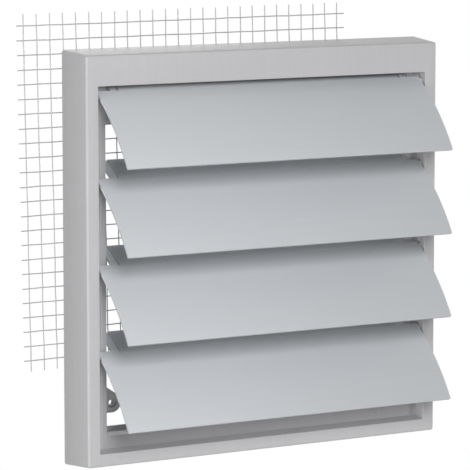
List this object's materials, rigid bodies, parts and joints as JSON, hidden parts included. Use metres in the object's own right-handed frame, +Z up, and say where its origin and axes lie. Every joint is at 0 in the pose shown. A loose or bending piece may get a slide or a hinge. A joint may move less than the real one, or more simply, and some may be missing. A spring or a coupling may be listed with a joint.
{
  "type": "weather grille",
  "caption": "Square wall weather grille: a shallow moulded frame with curved sloping slats that stand proud of it, and a welded wire bird guard lying against its back.",
  "frame": {"origin": "middle of the four wall screws, in the plane of the wall", "axes": "+X to the right seen from the front, +Y from the front into the wall, +Z up"},
  "size_m": [0.4088, 0.0912, 0.3993],
  "materials": {
    "frame_plastic": "satin moulded plastic, warm light grey",
    "slat_plastic": "satin moulded plastic, light grey with a trace of blue",
    "galvanised_wire": "galvanised welded wire"
  },
  "bodies": {
    "root": {"frame": "frame_plastic", "slat_1": "slat_plastic", "slat_2": "slat_plastic", "slat_3": "slat_plastic", "slat_4": "slat_plastic", "bird_guard": "galvanised_wire"}
  },
  "joints": []
}
